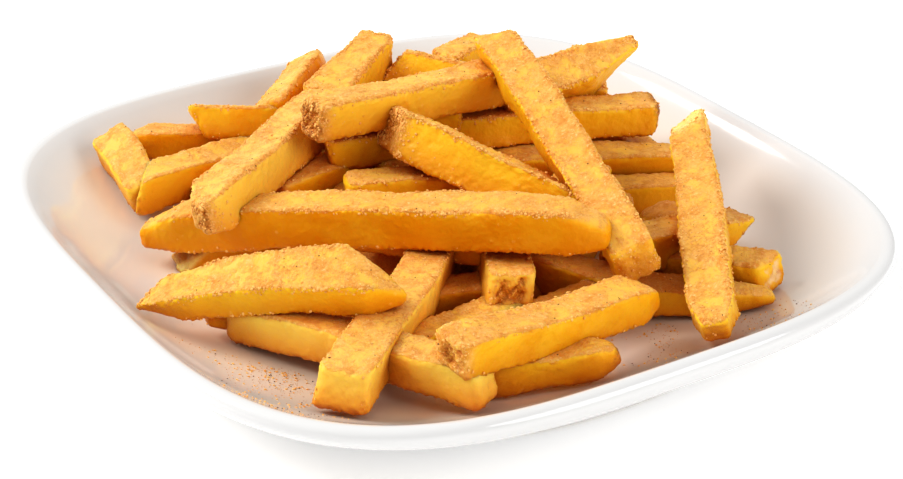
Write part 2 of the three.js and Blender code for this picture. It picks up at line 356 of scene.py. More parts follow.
# start and finish are the middles of the two ends; slant and lean tip an end, in degrees
# scorch, crumbly and hollow are for start and finish; in the last two, below 0 is a pale cut
# tone: above 0 a fry is darker, well below 0 it is fair
floorFries = {
    "farRightFloor": dict(start=(23.5, -37, 14.4), finish=(52.7, -69.3, 17.3), height=9.5,
                          finishSlant=20, hollow=(0, -1)),
    "frontRightPointed": dict(start=(17, -54, 15), finish=(48, -75, 15), height=8.5, finishCut="tip",
                              scorch=(0, 0.5)),
    "frontRightLow": dict(start=(-37, -69, 16.5), finish=(-5.6, -81.8, 18.9), width=9, height=9.5,
                          finishCut="round", scorch=(0, 1.05)),
    "frontCross": dict(start=(-69, -17, 16.3), finish=(-39.4, -79.9, 20.4), width=10.5, bow=0.5,
                       scorch=(0, 0.3), tone=-2.2),
    "underRightFront": dict(start=(2, -18, 14.4), finish=(18, -55, 14.4)),
    "underMiddleFront": dict(start=(-44, -50, 14.3), finish=(-8, -47, 14.2), height=9.5),
    "underMiddle": dict(start=(-36, -26, 14.1), finish=(-4, -40, 14.1), height=9.5),
    "leftWedge": dict(start=(-56, 27, 14.2), finish=(-44, 45, 14.2), width=11, height=9,
                      startCut="point", tone=-0.5),
    "leftInner": dict(start=(-62, 21, 14.2), finish=(-18, 10, 14.2), width=10.5, height=10,
                      startLean=-45, crumbly=(-1, 0), tone=0.4),
    "leftPointed": dict(start=(-75.8, -13.5, 15.2), finish=(-46, -22, 13.9), width=9.5, height=9,
                        startCut="tip"),
    "rightFloor": dict(start=(34, -4, 14.5), finish=(68, -18, 14.5), height=9),
    "rightShort": dict(start=(42, -26, 15.3), finish=(60, -42, 15.6), width=10.5, height=10.5,
                       startCut="round", scorch=(0.7, 0)),
    "middleFloor": dict(start=(-4, -10, 14.4), finish=(44, -6, 14.4)),
    "leftMiddleFloor": dict(start=(-44, 36, 14.4), finish=(-4, 4, 14.4)),
    "backFloor": dict(start=(-8, 74, 17), finish=(48, 66, 16.6)),
    "backInner": dict(start=(6, 58, 14.6), finish=(64, 43, 15.6)),
    "backRight": dict(start=(66, 36, 16), finish=(68, 0, 15), height=9.5),
    "centreFloor": dict(start=(-22, 27, 16), finish=(18, 20, 16)),
    "leftBackRound": dict(start=(-53.2, 77.2, 19.5), finish=(-9.3, 61, 15.6), height=9.5,
                          startCut="round", scorch=(0.3, 0)),
    "leftBackLow": dict(start=(-64.3, 47.7, 20), finish=(-8, 56, 17), width=10.5, height=10.5,
                        startSlant=34, scorch=(0.5, 0), tone=-0.9),
    "leftBackEnd": dict(start=(-60.4, 75.4, 21.5), finish=(-61.7, 47.7, 17.6), width=10.5,
                        height=9.5, roll=24, scorch=(0.75, 0.3), tone=-1.2),
    "leftFill": dict(start=(-46, 24, 20), finish=(-14, 58, 18)),
    "innerCrossing": dict(start=(-28, 4, 19), finish=(2, 42, 19), height=9),
    "underBowed": dict(start=(-59, -12, 13.9), finish=(-41, -44, 14.2), height=9),
    "underShort": dict(start=(-20, -56, 14), finish=(12, -52, 14), height=9),
    "gapFloor": dict(start=(-28, 46, 15), finish=(10, 52, 15)),
    "rightLong": dict(start=(15, 19, 18), finish=(71.4, -8.9, 18), width=11.5, height=12.5,
                      bow=-0.5, scorch=(0, 0.7)),
}

middleFries = {
    "rightTip": dict(start=(19.2, -47.9, 22.8), finish=(56.4, -47.2, 18.8), finishLean=40,
                     scorch=(0, 0.95)),
    "middleShort": dict(start=(-13, -50, 21), finish=(4, -14, 19), width=11.5, height=11,
                        scorch=(0.35, 0), crumbly=(0.3, 0), tone=-1.7, hollow=(1.7, 0)),
    "frontDown": dict(start=(-5, -11.5, 20.5), finish=(-69.6, -67, 21), width=12, height=11,
                      bow=-0.5, scorch=(0, 0.25), tone=-1.8),
    "frontRight": dict(start=(-48, -75.7, 28.3), finish=(12.9, -70, 23.2), width=11, height=9.3,
                       bow=-0.5, finishCut="round", scorch=(0.4, 0), crumbly=(1, 0), tone=0,
                       hollow=(1.5, 0)),
    "leftBackWedge": dict(start=(-38, 68, 25), finish=(-4, 50, 24), height=9.5, roll=-24,
                          startLean=28, scorch=(0.3, 0)),
    "centrePointed": dict(start=(-38, 20, 24), finish=(5, 28, 24), width=9.5, height=9, startCut="tip",
                          crumbly=(0.6, 0)),
    "innerFront": dict(start=(-30, -6, 24), finish=(-2, -38, 24), width=9.5, height=9.5),
    "innerLeft": dict(start=(-24.5, 8.1, 26), finish=(16, -8, 26)),
    "innerMiddle": dict(start=(2, 4, 24), finish=(36, -30, 20)),
    "innerBack": dict(start=(-8, 42, 26), finish=(30, 24, 26), width=9.5, height=9.5),
    "innerLow": dict(start=(-6, 22, 24), finish=(8, -22, 21), height=9.5),
    "innerRight": dict(start=(14, -22, 24), finish=(42, -10, 23), width=9.5, height=9.5),
    "backLeftUpper": dict(start=(-20.5, 56, 26), finish=(7, 80, 30.2), width=11, height=10.5,
                          roll=-26, finishCut="worn", scorch=(0, 0.15)),
    "backUpper": dict(start=(-6, 70, 26), finish=(48, 60, 25)),
    "backRightUpper": dict(start=(56, 52, 24), finish=(58, 20, 22)),
    "backInnerUpper": dict(start=(8, 44, 24), finish=(62, 38, 25), height=9.5, finishCut="tip"),
    "backSloping": dict(start=(4, 84, 19.5), finish=(22, 50, 26), width=9.5, height=9.5),
    "rightBehind": dict(start=(44, 33, 25), finish=(66, 19, 29), width=9.5, height=9.5),
    "underTop": dict(start=(-21.7, 24, 31), finish=(-0.6, 19.5, 31), width=9, height=9),
    "rightUpper": dict(start=(9, 26, 29), finish=(71.7, 4.6, 28.3), width=10.5, height=9.8,
                       scorch=(0, 0.95)),
}

topFries = {
    "frontLeftBowed": dict(start=(-86, -6.2, 19.4), finish=(-44.2, -47.2, 32), width=12.6,
                           height=8.7, roll=22, bow=2.6, taper=0.24, startCut="wedge",
                           startSlant=26, finishCut="hook", finishSlant=-28, scorch=(0.3, 0.1),
                           tone=-0.5),
    "longFront": dict(start=(-71.9, 29.7, 18), finish=(10, -57, 35), width=11.5, height=11.5,
                      bow=3, startCut="nose", finishCut="nose", scorch=(0.15, 0.4), tone=0.4),
    "leftUpper": dict(start=(-67.9, 5.5, 31), finish=(-8, 45, 33), width=12, height=11.5, roll=-10,
                      startCut="worn", startSlant=20, startLean=0, scorch=(0.55, 0),
                      crumbly=(0.9, 0), tone=-1.6, hollow=(1, 0)),
    "centreDiagonal": dict(start=(-9.2, 13, 39), finish=(17, -41, 28), width=11.5, height=12,
                           roll=-26, startSlant=-42, scorch=(0.55, 0), crumbly=(0.8, 0.5),
                           hollow=(1.1, 0)),
    "centreUnder": dict(start=(-18, 36, 34), finish=(18, 20, 33), width=9.5, height=9.5),
    "backCentre": dict(start=(20.3, 59, 33.2), finish=(43.6, 29.8, 31), width=10.5, height=10.5,
                       roll=-26, startLean=-30, scorch=(0, 0), crumbly=(0.4, 0), tone=-0.5),
    "backTop": dict(start=(34.8, 55.9, 30), finish=(54.1, 62.1, 31), height=9.5, tone=-0.4),
    "leftTop": dict(start=(-10.5, 46, 31), finish=(18.5, 64.5, 38), width=12, height=11, roll=4,
                    taper=-0.13, tone=-1),
    "rightWing": dict(start=(31, 20.7, 34.5), finish=(75, 19.8, 41), width=12.5, height=11,
                      roll=26, bow=-1.2, finishCut="point", scorch=(0, 0.6), tone=-0.8),
    "leftTopLong": dict(start=(-29.6, 18.9, 43), finish=(41, 22, 39), width=11, height=11, bow=0.5,
                        startLean=0, scorch=(0.8, 0), crumbly=(1, 0), tone=-1.1, hollow=(1.3, 0)),
    "rightLeaning": dict(start=(17.5, -87.8, 20.7), finish=(65, -16.9, 35.2), width=10.8,
                         height=8.5, roll=-16, bow=0.5, startCut="worn", finishSlant=-30,
                         finishLean=-62, scorch=(0.05, 0), crumbly=(0.1, -1), tone=-0.9),
    "topDiagonal": dict(start=(31.5, 24.3, 49.8), finish=(13, -64, 28), width=11.5, height=10.8,
                        roll=22, bow=1, startSlant=16, startLean=0, finishLean=0,
                        scorch=(0.1, 0), crumbly=(0, 0.4), tone=-0.2),
}

fryDetail = {
    "topVoxel": 0.45,
    "middleVoxel": 0.62,
    "floorVoxel": 0.8,
    "quickVoxel": 1.3,
    "twist": 4.0,  # degrees from end to end
    "sway": 0.5,  # sideways bend
    "taper": 0.05,  # how much wider one end is than the other
    "hollow": 0.06,  # how far the faces sink between their edges
    "skew": 0.1,  # how far the square section leans
    "cutLean": 12,  # degrees that a cut end may lean where its fry says nothing
    "toneSpread": 0.5,  # and how far its colour may be off the middle tone
    "smoothing": 6,
    "rimWidth": (1.2, 3.8),  # of a hollowed end, outside and inside
    "hollowReach": 1.1,
    "scorchReach": 2.2,
    "crumblyReach": 3.2,
}


def shapeEnd(bar, side, cut, length, height, slant, lean):
    reach, wide, high, lift = cut
    selectFaces(bar, lambda face: face.normal.x * side > 0.9)
    bpy.ops.transform.translate(value=(-side * reach * mm, 0, 0))
    shape = bmesh.from_edit_mesh(bar.data)
    for vertex in shape.verts:
        if vertex.select:
            vertex.co.x += math.tan(math.radians(slant)) * vertex.co.y
            vertex.co.x += side * math.tan(math.radians(lean)) * vertex.co.z
    bmesh.update_edit_mesh(bar.data)
    bpy.ops.mesh.extrude_region_move(TRANSFORM_OT_translate={"value": (side * reach * mm, 0, 0)})
    middle = (length if side > 0 else 0, 0, 0)
    bpy.ops.transform.resize(value=(1, wide, high), center_override=middle)
    bpy.ops.transform.translate(value=(0, 0, lift * height))


def endDistances(points, length, fry):
    # how far each point is from the slanted start and from the slanted finish
    tilt = {key: math.tan(math.radians(fry.get(key, 0)))
            for key in ("startSlant", "startLean", "finishSlant", "finishLean")}
    x, y, z = points.T
    return (np.clip(x - tilt["startSlant"] * y + tilt["startLean"] * z, 0, None),
            np.clip(length - x + tilt["finishSlant"] * y + tilt["finishLean"] * z, 0, None))


def hollowEnds(mesh, points, length, width, height, fry, draw):
    # the soft inside shrinks back from the rim of a cut end; a negative depth leaves it pale
    depths = fry.get("hollow", (0.3, 0.3))
    _, y, z = points.T
    rim = np.minimum(width / 2 - np.abs(y), height / 2 - np.abs(z))
    ragged = np.sin(y / mm * 1.3 + draw.uniform(0, 6)) + np.sin(z / mm * 1.7 + draw.uniform(0, 6))
    outside, inside = fryDetail["rimWidth"]
    inner = smoothStep(outside * mm, inside * mm, rim + ragged * 0.7 * mm)
    pits = 0.3 * np.sin(y / mm * 1.9 + draw.uniform(0, 6)) * np.sin(z / mm * 1.6 + draw.uniform(0, 6))
    rough = 0.75 + pits + 0.2 * np.sin(y / mm * 4.1 + z / mm * 3.3)
    found = np.zeros(len(points))
    for way, away, depth in zip((1, -1), endDistances(points, length, fry), depths):
        sunk = inner * rough * np.exp(-(away / (fryDetail["hollowReach"] * mm)) ** 2)
        points[:, 0] += way * sunk * abs(depth) * mm
        found += sunk * depth
    storeValues(mesh, "hollow", found)


def makeFry(name, fry, voxel):
    draw = random.Random(name)
    start, finish = Vector(fry["start"]) * mm, Vector(fry["finish"]) * mm
    length = (finish - start).length
    width = fry.get("width", fryCut["width"]) * mm
    height = fry.get("height", fryCut["height"]) * mm
    tipping = fryDetail["cutLean"]

    bpy.ops.mesh.primitive_cube_add(size=1, location=(length / 2, 0, 0), scale=(length, width, height))
    bar = bpy.context.object
    bar.name = name
    bpy.ops.object.transform_apply(location=True, rotation=False, scale=True)
    bpy.ops.object.mode_set(mode="EDIT")
    bpy.ops.mesh.select_mode(type="FACE")
    shapeEnd(bar, -1, endCuts[fry.get("startCut", "blunt")], length, height,
             fry.get("startSlant", 0), fry.get("startLean", draw.uniform(-tipping, tipping)))
    shapeEnd(bar, 1, endCuts[fry.get("finishCut", "blunt")], length, height,
             fry.get("finishSlant", 0), fry.get("finishLean", draw.uniform(-tipping, tipping)))
    bpy.ops.object.mode_set(mode="OBJECT")
    applyModifier(bar, "BEVEL", width=fryCut["edge"] * draw.uniform(0.8, 1.2) * mm, segments=4,
                  limit_method="ANGLE", angle_limit=math.radians(35))
    applyModifier(bar, "REMESH", mode="VOXEL", voxel_size=voxel * mm, use_smooth_shade=True)
    applyModifier(bar, "SMOOTH", factor=0.5, iterations=fryDetail["smoothing"])

    points = readPoints(bar.data)
    share = points[:, 0] / length
    markCrust(bar.data, points, length, width, height, fry, draw)
    hollowEnds(bar.data, points, length, width, height, fry, draw)

    # no two fries are cut alike: a little twist, sway and taper
    twist = math.radians(draw.uniform(-1, 1) * fryDetail["twist"]) * (share - 0.5)
    taper = 1 + fry.get("taper", draw.uniform(-1, 1) * fryDetail["taper"]) * (share - 0.5) * 2
    sway = draw.uniform(-1, 1) * fryDetail["sway"] * mm * 4 * share * (1 - share)
    y, z = points[:, 1], points[:, 2]
    hollow = fryDetail["hollow"]
    lean = draw.uniform(-1, 1) * fryDetail["skew"]
    y, z = (y * (1 - hollow * (1 - np.clip(2 * z / height, -1, 1) ** 2)) + lean * z,
            z * (1 - hollow * (1 - np.clip(2 * y / width, -1, 1) ** 2)))
    across = (y * np.cos(twist) - z * np.sin(twist)) * taper + sway
    rise = (y * np.sin(twist) + z * np.cos(twist)) * taper

    along = (finish - start).normalized()
    side = Vector((0, 0, 1)).cross(along).normalized()
    top = along.cross(side)
    roll = Matrix.Rotation(math.radians(fry.get("roll", 0)), 3, along)
    side, top = roll @ side, roll @ top
    placed = (np.array(start) + np.outer(points[:, 0], along) + np.outer(across, side)
              + np.outer(rise, top))
    placed[:, 2] += fry.get("bow", 0) * mm * 4 * share * (1 - share)
    writePoints(bar.data, placed)
    return bar


def markCrust(mesh, points, length, width, height, fry, draw):
    # values that the relief and the colours read: edge, ends, browning, crumbs, painted shade low down,
    # tone
    fromStart, fromFinish = endDistances(points, length, fry)
    fromEnds = np.minimum(fromStart, fromFinish)
    walls = np.stack([width / 2 - np.abs(points[:, 1]), height / 2 - np.abs(points[:, 2]), fromEnds])
    walls.sort(axis=0)
    storeValues(mesh, "edge", 1 - smoothStep(0.4 * mm, 2.4 * mm, walls[1]))
    scorch, crumbly = fry.get("scorch", (0.12, 0.12)), fry.get("crumbly", (0, 0))
    for name, ends in (("scorch", scorch), ("crumbly", crumbly)):
        reach = fryDetail[name + "Reach"] * mm
        storeValues(mesh, name, ends[0] * np.exp(-fromStart / reach)
                    + ends[1] * np.exp(-fromFinish / reach))
    # low: share of painted shade, darker towards the bottom of each fry
    storeValues(mesh, "low", smoothStep(-0.3, 0.5, -points[:, 2] / height))
    spread = fryDetail["toneSpread"]
    storeValues(mesh, "tone", np.full(len(points), fry.get("tone", draw.uniform(-spread, spread))))


crust = {
    "warp": 1.5,  # how far whole fries bend out of true
    "lumps": 0.4,  # height of the broad unevenness
    "waves": 0.12,  # and of the waves on it
    "blisters": 0.16,
    "crumbs": 0.09,  # fine crumb all over
    "edgeCrumbs": 0.36,  # more of it on the long edges
    "endCrumbs": 0.42,  # and on the crumbly ends
}

# how wide each of these is, in metres
crustSizes = {
    "warp": 0.026,
    "lumps": 0.011,
    "waves": 0.0038,
    "patches": 0.014,  # where blisters come together
    "blisters": 0.0024,
    "crumbs": 0.0011,
    "endCrumbs": 0.0021,
}


def crustRelief():
    tree = bpy.data.node_groups.new("crustRelief", "GeometryNodeTree")
    tree.interface.new_socket("Geometry", in_out="INPUT", socket_type="NodeSocketGeometry")
    tree.interface.new_socket("Geometry", in_out="OUTPUT", socket_type="NodeSocketGeometry")
    coming = addNode(tree, "NodeGroupInput").outputs[0]
    place = addNode(tree, "GeometryNodeInputPosition").outputs[0]
    normal = addNode(tree, "GeometryNodeInputNormal").outputs[0]

    def value(name):
        node = addNode(tree, "GeometryNodeInputNamedAttribute", {"Name": name}, data_type="FLOAT")
        return node.outputs[0]

    edge, crumbly = value("edge"), value("crumbly")
    lumps = between(tree, grain(tree, place, crustSizes["lumps"], 2), 0.3, 0.7, -0.5, 0.5)
    patches = between(tree, grain(tree, place, crustSizes["patches"], 2, offset=3.1), 0.45, 0.62)
    bubbles = addNode(tree, "ShaderNodeTexVoronoi", {
        "Vector": place, "Scale": 1 / crustSizes["blisters"], "Randomness": 1}, feature="SMOOTH_F1")
    bubbles.inputs["Smoothness"].default_value = 0.35
    blister = combine(tree, "MULTIPLY", between(tree, bubbles.outputs["Distance"], 0.42, 0.08), patches)
    fine = between(tree, grain(tree, place, crustSizes["crumbs"], 3, 0.65), 0.35, 0.72, -0.3, 1)
    coarse = between(tree, grain(tree, place, crustSizes["endCrumbs"], 2, 0.6, offset=7.7),
                     0.42, 0.68, -0.15, 1)

    fineHeight = combine(tree, "MULTIPLY_ADD", edge, crust["edgeCrumbs"] * mm)
    fineHeight.node.inputs[2].default_value = crust["crumbs"] * mm
    endHeight = combine(tree, "MULTIPLY", crumbly, crust["endCrumbs"] * mm)
    total = combine(tree, "MULTIPLY", lumps, crust["lumps"] * mm)
    waves = between(tree, grain(tree, place, crustSizes["waves"], 1, offset=2.3), 0.3, 0.7, -0.5, 0.5)
    waves = combine(tree, "MULTIPLY", waves, combine(tree, "ADD", edge, 0.35))
    total = combine(tree, "ADD", total, combine(tree, "MULTIPLY", waves, crust["waves"] * mm))
    total = combine(tree, "ADD", total, combine(tree, "MULTIPLY", blister, crust["blisters"] * mm))
    total = combine(tree, "ADD", total, combine(tree, "MULTIPLY", fine, fineHeight))
    total = combine(tree, "ADD", total, combine(tree, "MULTIPLY", coarse, endHeight))
    offset = addNode(tree, "ShaderNodeVectorMath", {0: normal, "Scale": total},
                     operation="SCALE").outputs[0]
    warp = addNode(tree, "ShaderNodeTexNoise", {
        "Vector": place, "Scale": 1 / crustSizes["warp"], "Detail": 1.0}).outputs[1]
    warp = addNode(tree, "ShaderNodeVectorMath", {0: warp, 1: (0.5, 0.5, 0.5)},
                   operation="SUBTRACT").outputs[0]
    offset = addNode(tree, "ShaderNodeVectorMath", {
        0: warp, 1: (crust["warp"] * 2 * mm,) * 3, 2: offset}, operation="MULTIPLY_ADD").outputs[0]

    moved = addNode(tree, "GeometryNodeSetPosition", {"Geometry": coming, "Offset": offset}).outputs[0]
    moved = addNode(tree, "GeometryNodeStoreNamedAttribute", {
        "Geometry": moved, "Name": "blister", "Value": blister},
        data_type="FLOAT", domain="POINT").outputs[0]
    leaving = addNode(tree, "NodeGroupOutput")
    tree.links.new(moved, leaving.inputs[0])
    return tree


# as seen on screen
potatoColours = {
    "paleAmber": (254, 200, 42),
    "deepAmber": (238, 164, 10),
    "fair": (255, 208, 90),  # of fries with a low tone
    # painted shade low on each fry
    "underside": (218, 122, 2),
    # painted light on upward faces
    "top": (248, 190, 104),
    "freshCut": (255, 228, 136),
    "sandDark": (216, 138, 58),
    "sandLight": (244, 186, 106),
    "paleGrain": (255, 226, 158),
    "darkGrain": (208, 126, 50),
    "fleck": (255, 206, 108),
    "seasoning": (208, 126, 58),
    "toast": (212, 128, 44),
    "endDark": (104, 52, 16),
    "endLight": (190, 116, 52),
    "hollowDark": (176, 98, 28),
    "hollowLight": (230, 156, 72),
    "hollowFresh": (250, 220, 168),
    # painted shade and bounce light in creases and deep in the heap
    "paintedCreaseShade": (224, 130, 10),
    "paintedDeepShade": (168, 72, 4),
}

potatoLook = {
    "paintedShadeReach": 0.014,  # metres
    "glow": 0.6,  # light that passes through the flesh
    "glowRadius": (0.75, 0.5, 0.16),
    "glowDepth": 0.0045,
    "shine": 0.18,
}


def friedPotato():
    paints = {name: paint(*colour) for name, colour in potatoColours.items()}
    material, tree, shader, place = newMaterial("friedPotato")

    def value(name):
        return addNode(tree, "ShaderNodeAttribute", attribute_name=name).outputs["Fac"]

    edge, scorch, crumbly, tone = value("edge"), value("scorch"), value("crumbly"), value("tone")
    upward, blister, low, hollow = value("upward"), value("blister"), value("low"), value("hollow")

    # smooth fried faces, in patches of two ambers
    patches = combine(tree, "MULTIPLY_ADD", tone, 0.3)
    tree.links.new(grain(tree, place, 0.01, 3), patches.node.inputs[2])
    flesh = blendColours(tree, between(tree, patches, 0.25, 0.8), paints["paleAmber"], paints["deepAmber"])
    flesh = blendColours(tree, between(tree, tone, -0.5, -2), flesh, paints["fair"])
    # painted shade: each fry darker and deeper orange towards its bottom
    flesh = blendColours(tree, combine(tree, "MULTIPLY", low, 0.55), flesh, paints["underside"])
    # painted light: upward faces turn paler, as if lit from above
    paintedTopLight = combine(tree, "MULTIPLY", between(tree, upward, 0.4, 0.95), 0.6)
    flesh = blendColours(tree, paintedTopLight, flesh, paints["top"])

    # a sandy crust that comes and goes, thickest along the edges and on top
    where = combine(tree, "MULTIPLY_ADD", between(tree, upward, 0.35, 0.85), 0.26)
    tree.links.new(grain(tree, place, 0.005, 5, 0.7), where.node.inputs[2])
    where = combine(tree, "ADD", where, combine(tree, "MULTIPLY", edge, 0.14))
    sandy = between(tree, where, 0.66, 0.84)
    sandy = combine(tree, "MAXIMUM", sandy, between(tree, crumbly, 0.15, 0.6))
    fresh = between(tree, crumbly, -0.4, -0.75)  # a clean cut, with no crust on it yet
    sandy = combine(tree, "MULTIPLY", sandy, between(tree, fresh, 0, 1, 1, 0.1))
    flesh = blendColours(tree, fresh, flesh, paints["freshCut"])
    mottle = between(tree, grain(tree, place, 0.003, 4, 0.65), 0.3, 0.68)
    sandColour = blendColours(tree, mottle, paints["sandDark"], paints["sandLight"])
    colour = blendColours(tree, combine(tree, "MULTIPLY", sandy, 0.75), flesh, sandColour)

    # its grains, some pale and some darker
    fineGrain = grain(tree, place, 0.0008, 3, 0.7)
    paleGrains = combine(tree, "MULTIPLY", between(tree, fineGrain, 0.55, 0.68), sandy)
    colour = blendColours(tree, combine(tree, "MULTIPLY", paleGrains, 0.6), colour, paints["paleGrain"])
    darkGrains = combine(tree, "MULTIPLY", between(tree, fineGrain, 0.46, 0.34), sandy)
    colour = blendColours(tree, combine(tree, "MULTIPLY", darkGrains, 0.45), colour, paints["darkGrain"])

    # pale flecks where the crust blistered
    flecks = combine(tree, "MULTIPLY", between(tree, blister, 0.35, 0.8), between(
        tree, grain(tree, place, 0.002, 3, 0.6, offset=4.4), 0.45, 0.6))
    colour = blendColours(tree, combine(tree, "MULTIPLY", flecks, 0.4), colour, paints["fleck"])

    # orange-brown seasoning, in drifts
    drifts = between(tree, grain(tree, place, 0.013, 2, offset=5.5), 0.46, 0.66)
    dust = combine(tree, "MULTIPLY", between(
        tree, grain(tree, place, 0.0008, 3, 0.75, offset=8.2), 0.5, 0.62), drifts)
    dust = combine(tree, "MULTIPLY", dust, between(tree, upward, 0.2, 0.7))
    colour = blendColours(tree, combine(tree, "MULTIPLY", dust, 0.55), colour, paints["seasoning"])

    # browned edges and ends
    toast = combine(tree, "MULTIPLY", between(tree, edge, 0.5, 1), between(
        tree, grain(tree, place, 0.007, 3, offset=1.7), 0.45, 0.7))
    colour = blendColours(tree, combine(tree, "MULTIPLY", toast, 0.25), colour, paints["toast"])
    ends = combine(tree, "MULTIPLY_ADD", grain(tree, place, 0.0022, 3, 0.6, offset=9.1), 0.9)
    tree.links.new(scorch, ends.node.inputs[2])
    endColour = blendColours(tree, between(tree, fineGrain, 0.4, 0.6),
                             paints["endDark"], paints["endLight"])
    colour = blendColours(tree, between(tree, ends, 0.75, 1.3, 0, 0.9), colour, endColour)

    # inside a cut end it is brown and rough, or pale where the cut is fresh
    colour = blendColours(tree, between(tree, hollow, 0.2, 1.1, 0, 0.8), colour, blendColours(
        tree, between(tree, fineGrain, 0.42, 0.6), paints["hollowDark"], paints["hollowLight"]))
    colour = blendColours(tree, between(tree, hollow, -0.2, -0.7, 0, 0.8), colour, paints["hollowFresh"])

    # painted shade: by ambient occlusion, creases are painted orange and deep in the heap the fries are
    # painted dark, for shade and warm bounce light
    nook = addNode(tree, "ShaderNodeAmbientOcclusion", {"Distance": potatoLook["paintedShadeReach"]},
                   samples=6).outputs["AO"]
    colour = blendColours(tree, between(tree, nook, 0.75, 0.35, 0, 0.5), colour, paints["paintedCreaseShade"])
    colour = blendColours(tree, between(tree, nook, 0.5, 0.08, 0, 0.8), colour, paints["paintedDeepShade"])
    tree.links.new(colour, shader.inputs["Base Color"])

    tree.links.new(between(tree, sandy, 0, 1, 0.38, 0.6), shader.inputs["Roughness"])
    shader.inputs["Specular IOR Level"].default_value = potatoLook["shine"]
    shader.inputs["Subsurface Weight"].default_value = potatoLook["glow"]
    shader.inputs["Subsurface Radius"].default_value = potatoLook["glowRadius"]
    shader.inputs["Subsurface Scale"].default_value = potatoLook["glowDepth"]

    height = combine(tree, "MULTIPLY", fineGrain, between(tree, sandy, 0, 0.8, 0.25, 1))
    height = combine(tree, "ADD", height, combine(tree, "MULTIPLY", grain(tree, place, 0.0022, 2), 0.8))
    bump = addNode(tree, "ShaderNodeBump", {"Height": height, "Strength": 0.8, "Distance": 0.0006})
    tree.links.new(bump.outputs[0], shader.inputs["Normal"])
    return material


def makeFries(name, fries, voxel):
    voxel = voxel
    bars = [makeFry(fryName, fry, voxel) for fryName, fry in fries.items()]
    layer = joinPieces(bars, name)
    markUpward(layer)
    applyModifier(layer, "NODES", node_group=reliefTree)
    layer.data.materials.clear()
    layer.data.materials.append(potato)
    activate(layer)
    bpy.ops.object.shade_smooth()
    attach(layer, "root")
    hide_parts("fries_heap")
    print(name, "made:", len(fries), "fries,", len(layer.data.polygons) * 2, "triangles")
    return layer


def split(fries, parts):
    names = list(fries)
    size = math.ceil(len(names) / parts)
    return [{key: fries[key] for key in names[k:k + size]} for k in range(0, len(names), size)]


reliefTree = crustRelief()
potato = friedPotato()
layers = []
for number, group in enumerate(split(topFries, 4), 1):
    layers.append(makeFries(f"topFries{number}", group, fryDetail["topVoxel"]))
for number, group in enumerate(split(middleFries, 2), 1):
    layers.append(makeFries(f"middleFries{number}", group, fryDetail["middleVoxel"]))
layers.append(makeFries("floorFries", floorFries, fryDetail["floorVoxel"]))


# the middle of the heap, a low lumpy mound of broken fries that the gaps look into

heapCore = {
    "centre": (2, 4),
    "radius": 41,
    "bottom": 9.5,
    "top": 19.5,
}


def makeCore():
    bottom, top = heapCore["bottom"] * mm, heapCore["top"] * mm
    x, y = (c * mm for c in heapCore["centre"])
    radius = heapCore["radius"] * mm
    bpy.ops.mesh.primitive_ico_sphere_add(subdivisions=6, radius=1, location=(x, y, bottom),
                                          scale=(radius, radius, top - bottom))
    core = bpy.context.object
    bpy.ops.object.transform_apply(location=True, rotation=False, scale=True)
    bpy.ops.object.mode_set(mode="EDIT")
    bpy.ops.mesh.select_all(action="SELECT")
    bpy.ops.mesh.bisect(plane_co=(0, 0, bottom), plane_no=(0, 0, -1), use_fill=True, clear_outer=True)
    bpy.ops.object.mode_set(mode="OBJECT")
    core = joinPieces([core], "heapCore")
    points = readPoints(core.data)
    # low sets the painted shade on the core
    levels = {"edge": 0.2, "scorch": 0.1, "crumbly": 0, "low": 0.3, "tone": 0.3, "hollow": 0}
    for name, level in levels.items():
        storeValues(core.data, name, np.full(len(points), level))
    markUpward(core)
    applyModifier(core, "NODES", node_group=reliefTree)
    core.data.materials.append(potato)
    activate(core)
    bpy.ops.object.shade_smooth()
    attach(core, "root")
    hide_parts("fries_heap")
    return core


layers.append(makeCore())
print("core made")


# crumbs of crust that stand on the edges and ends of the upper fries

crustCrumbs = {
    "perLayer": {"topFries": 2200, "middleFries": 1500},
    "size": (0.28, 0.75),
    "raise": 0.1,  # how far a crumb's middle stands off the crust, as a share of its size
    "pale": (255, 212, 128),
    "dark": (236, 164, 74),
    "seed": 21,
}


def makeGrain(name):
    bpy.ops.mesh.primitive_ico_sphere_add(subdivisions=1, radius=0.5)
    seed = bpy.context.object
    bpy.ops.object.mode_set(mode="EDIT")
    bpy.ops.transform.resize(value=(1.3, 1, 0.7))
    bpy.ops.transform.vertex_random(offset=0.13, seed=len(name))
    bpy.ops.object.mode_set(mode="OBJECT")
    corners = readPoints(seed.data)
    faces = [tuple(face.vertices) for face in seed.data.polygons]
    bpy.data.objects.remove(seed)
    return corners, faces


def grainPiece(name, places, material):
    # places: point, normal, size and shade of each grain
    draw = random.Random(name)
    corners, faces = makeGrain(name)
    points, polygons, shades = [], [], []
    for place, normal, size, shade in places:
        turn = normal.to_track_quat("Z", "Y") @ Quaternion((0, 0, 1), draw.uniform(0, 2 * math.pi))
        first = len(points) * len(corners)
        points.append(corners @ np.array(turn.to_matrix()).T * size + np.array(place))
        polygons += [tuple(first + k for k in face) for face in faces]
        shades += [shade] * len(corners)
    mesh = bpy.data.meshes.new(name)
    mesh.from_pydata(np.concatenate(points).tolist(), [], polygons)
    storeValues(mesh, "shade", np.array(shades))
    piece = bpy.data.objects.new(name, mesh)
    bpy.context.collection.objects.link(piece)
    mesh.materials.append(material)
    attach(piece, "root")
    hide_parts("fries_heap")
    print(name, "scattered:", len(points), "grains,", len(polygons), "triangles")


def readValues(mesh, name):
    found = np.empty(len(mesh.vertices), dtype=np.float32)
    mesh.attributes[name].data.foreach_get("value", found)
    return found


